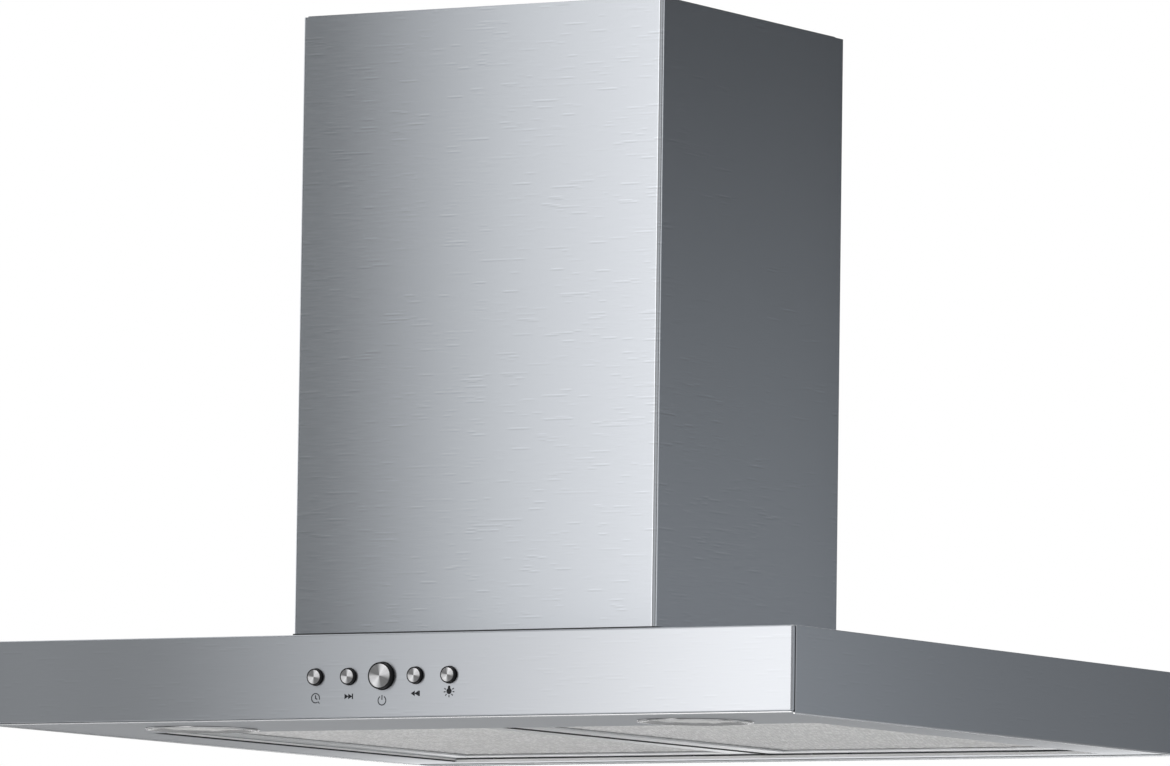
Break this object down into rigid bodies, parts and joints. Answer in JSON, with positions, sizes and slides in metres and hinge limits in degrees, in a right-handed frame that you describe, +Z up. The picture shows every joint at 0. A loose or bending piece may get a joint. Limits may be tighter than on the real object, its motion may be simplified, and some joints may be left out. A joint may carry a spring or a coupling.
{
  "type": "chimney range hood",
  "caption": "Ceiling-hung range hood: flat square-edged steel canopy with round push buttons and tilting grease filters under a square telescopic chimney.",
  "frame": {"origin": "centre of the duct axis on the ceiling plate's top face", "axes": "+Z up, square to the ceiling; -Y towards the control buttons; +X to the right of someone facing the buttons"},
  "size_m": [0.6, 0.564, 0.4751],
  "materials": {
    "brushed_steel": "horizontal fine brushing",
    "galvanised": "plain zinc-coated sheet",
    "dark_plastic": "moulded, fine texture",
    "white_plastic": "moulded",
    "aluminium": "satin anodised",
    "filter_mesh": "fine perforated mesh",
    "button_metal": "spun faces, dark sides",
    "chrome_trim": "polished",
    "lamp_glass": "frosted",
    "motor_metal": "painted",
    "circuit_board": "laminate"
  },
  "bodies": {
    "ceiling_section": {"ceiling_plate": "galvanised", "upper_cover": "brushed_steel", "upper_cover_rear_panel": "brushed_steel", "upper_post_front_left": "galvanised", "upper_post_rear_left": "galvanised", "upper_post_front_right": "galvanised", "upper_post_rear_right": "galvanised", "ceiling_screw_1": "chrome_trim", "ceiling_screw_2": "chrome_trim", "ceiling_screw_3": "chrome_trim", "ceiling_screw_4": "chrome_trim"},
    "hood_body": {"lower_cover": "brushed_steel", "lower_cover_rear_panel": "brushed_steel", "canopy_shell": "brushed_steel", "front_fascia": "brushed_steel", "bottom_pan": "brushed_steel", "frame_base": "galvanised", "blower_box": "galvanised", "scroll_casing": "galvanised", "motor_bracket": "galvanised", "lower_post_front_left": "galvanised", "lower_post_rear_left": "galvanised", "lower_post_front_right": "galvanised", "lower_post_rear_right": "galvanised", "rear_panel_screw_1": "chrome_trim", "rear_panel_screw_2": "chrome_trim", "rear_panel_screw_3": "chrome_trim", "rear_panel_screw_4": "chrome_trim", "lamp_trim_left": "chrome_trim", "lamp_trim_right": "chrome_trim", "outlet_collar": "dark_plastic", "button_carrier": "dark_plastic", "control_box": "dark_plastic", "cable_gland": "dark_plastic", "motor": "motor_metal", "lamp_lens_left": "lamp_glass", "lamp_lens_right": "lamp_glass", "lamp_body_left": "white_plastic", "lamp_body_right": "white_plastic", "control_board": "circuit_board"},
    "timer_button": {"timer_button": "button_metal"},
    "speed_down_button": {"speed_down_button": "button_metal"},
    "power_button": {"power_button": "button_metal"},
    "speed_up_button": {"speed_up_button": "button_metal"},
    "lamp_button": {"lamp_button": "button_metal"},
    "filter_left": {"filter_frame_left": "aluminium", "filter_mesh_left": "filter_mesh"},
    "latch_left": {"filter_latch_left": "dark_plastic"},
    "filter_right": {"filter_frame_right": "aluminium", "filter_mesh_right": "filter_mesh"},
    "latch_right": {"filter_latch_right": "dark_plastic"},
    "blower_rotor": {"blower_wheel": "dark_plastic", "motor_shaft": "chrome_trim"},
    "flap_front": {"backdraft_flap_front": "dark_plastic"},
    "flap_rear": {"backdraft_flap_rear": "dark_plastic"}
  },
  "joints": [
    {"name": "height_slide", "type": "slide", "parent": "ceiling_section", "child": "hood_body", "axis": [0, 0, -1], "range_m": [0, 0.3]},
    {"name": "timer_button_press", "type": "slide", "parent": "hood_body", "child": "timer_button", "axis": [0, 1, 0], "range_m": [0, 0.0022], "stiffness_N_per_m": 700, "springref_m": -0.001},
    {"name": "speed_down_button_press", "type": "slide", "parent": "hood_body", "child": "speed_down_button", "axis": [0, 1, 0], "range_m": [0, 0.0022], "stiffness_N_per_m": 700, "springref_m": -0.001},
    {"name": "power_button_press", "type": "slide", "parent": "hood_body", "child": "power_button", "axis": [0, 1, 0], "range_m": [0, 0.0022], "stiffness_N_per_m": 700, "springref_m": -0.001},
    {"name": "speed_up_button_press", "type": "slide", "parent": "hood_body", "child": "speed_up_button", "axis": [0, 1, 0], "range_m": [0, 0.0022], "stiffness_N_per_m": 700, "springref_m": -0.001},
    {"name": "lamp_button_press", "type": "slide", "parent": "hood_body", "child": "lamp_button", "axis": [0, 1, 0], "range_m": [0, 0.0022], "stiffness_N_per_m": 700, "springref_m": -0.001},
    {"name": "filter_left_tilt", "type": "hinge", "parent": "hood_body", "child": "filter_left", "pos_m": [-0.12665, 0.2818, -0.47055], "axis": [1, 0, 0], "range_deg": [0, 50]},
    {"name": "latch_left_slide", "type": "slide", "parent": "filter_left", "child": "latch_left", "axis": [0, 1, 0], "range_m": [0, 0.004], "stiffness_N_per_m": 400, "springref_m": -0.001},
    {"name": "filter_right_tilt", "type": "hinge", "parent": "hood_body", "child": "filter_right", "pos_m": [0.12665, 0.2818, -0.47055], "axis": [1, 0, 0], "range_deg": [0, 50]},
    {"name": "latch_right_slide", "type": "slide", "parent": "filter_right", "child": "latch_right", "axis": [0, 1, 0], "range_m": [0, 0.004], "stiffness_N_per_m": 400, "springref_m": -0.001},
    {"name": "blower_spin", "type": "hinge", "parent": "hood_body", "child": "blower_rotor", "pos_m": [0, 0, -0.3134], "axis": [1, 0, 0], "continuous": true},
    {"name": "flap_rear_swing", "type": "hinge", "parent": "hood_body", "child": "flap_rear", "pos_m": [0, 0.004, -0.1691], "axis": [1, 0, 0], "range_deg": [0, 80]},
    {"name": "flap_front_swing", "type": "hinge", "parent": "hood_body", "child": "flap_front", "pos_m": [0, -0.004, -0.1691], "axis": [-1, 0, 0], "range_deg": [0, 80]}
  ]
}
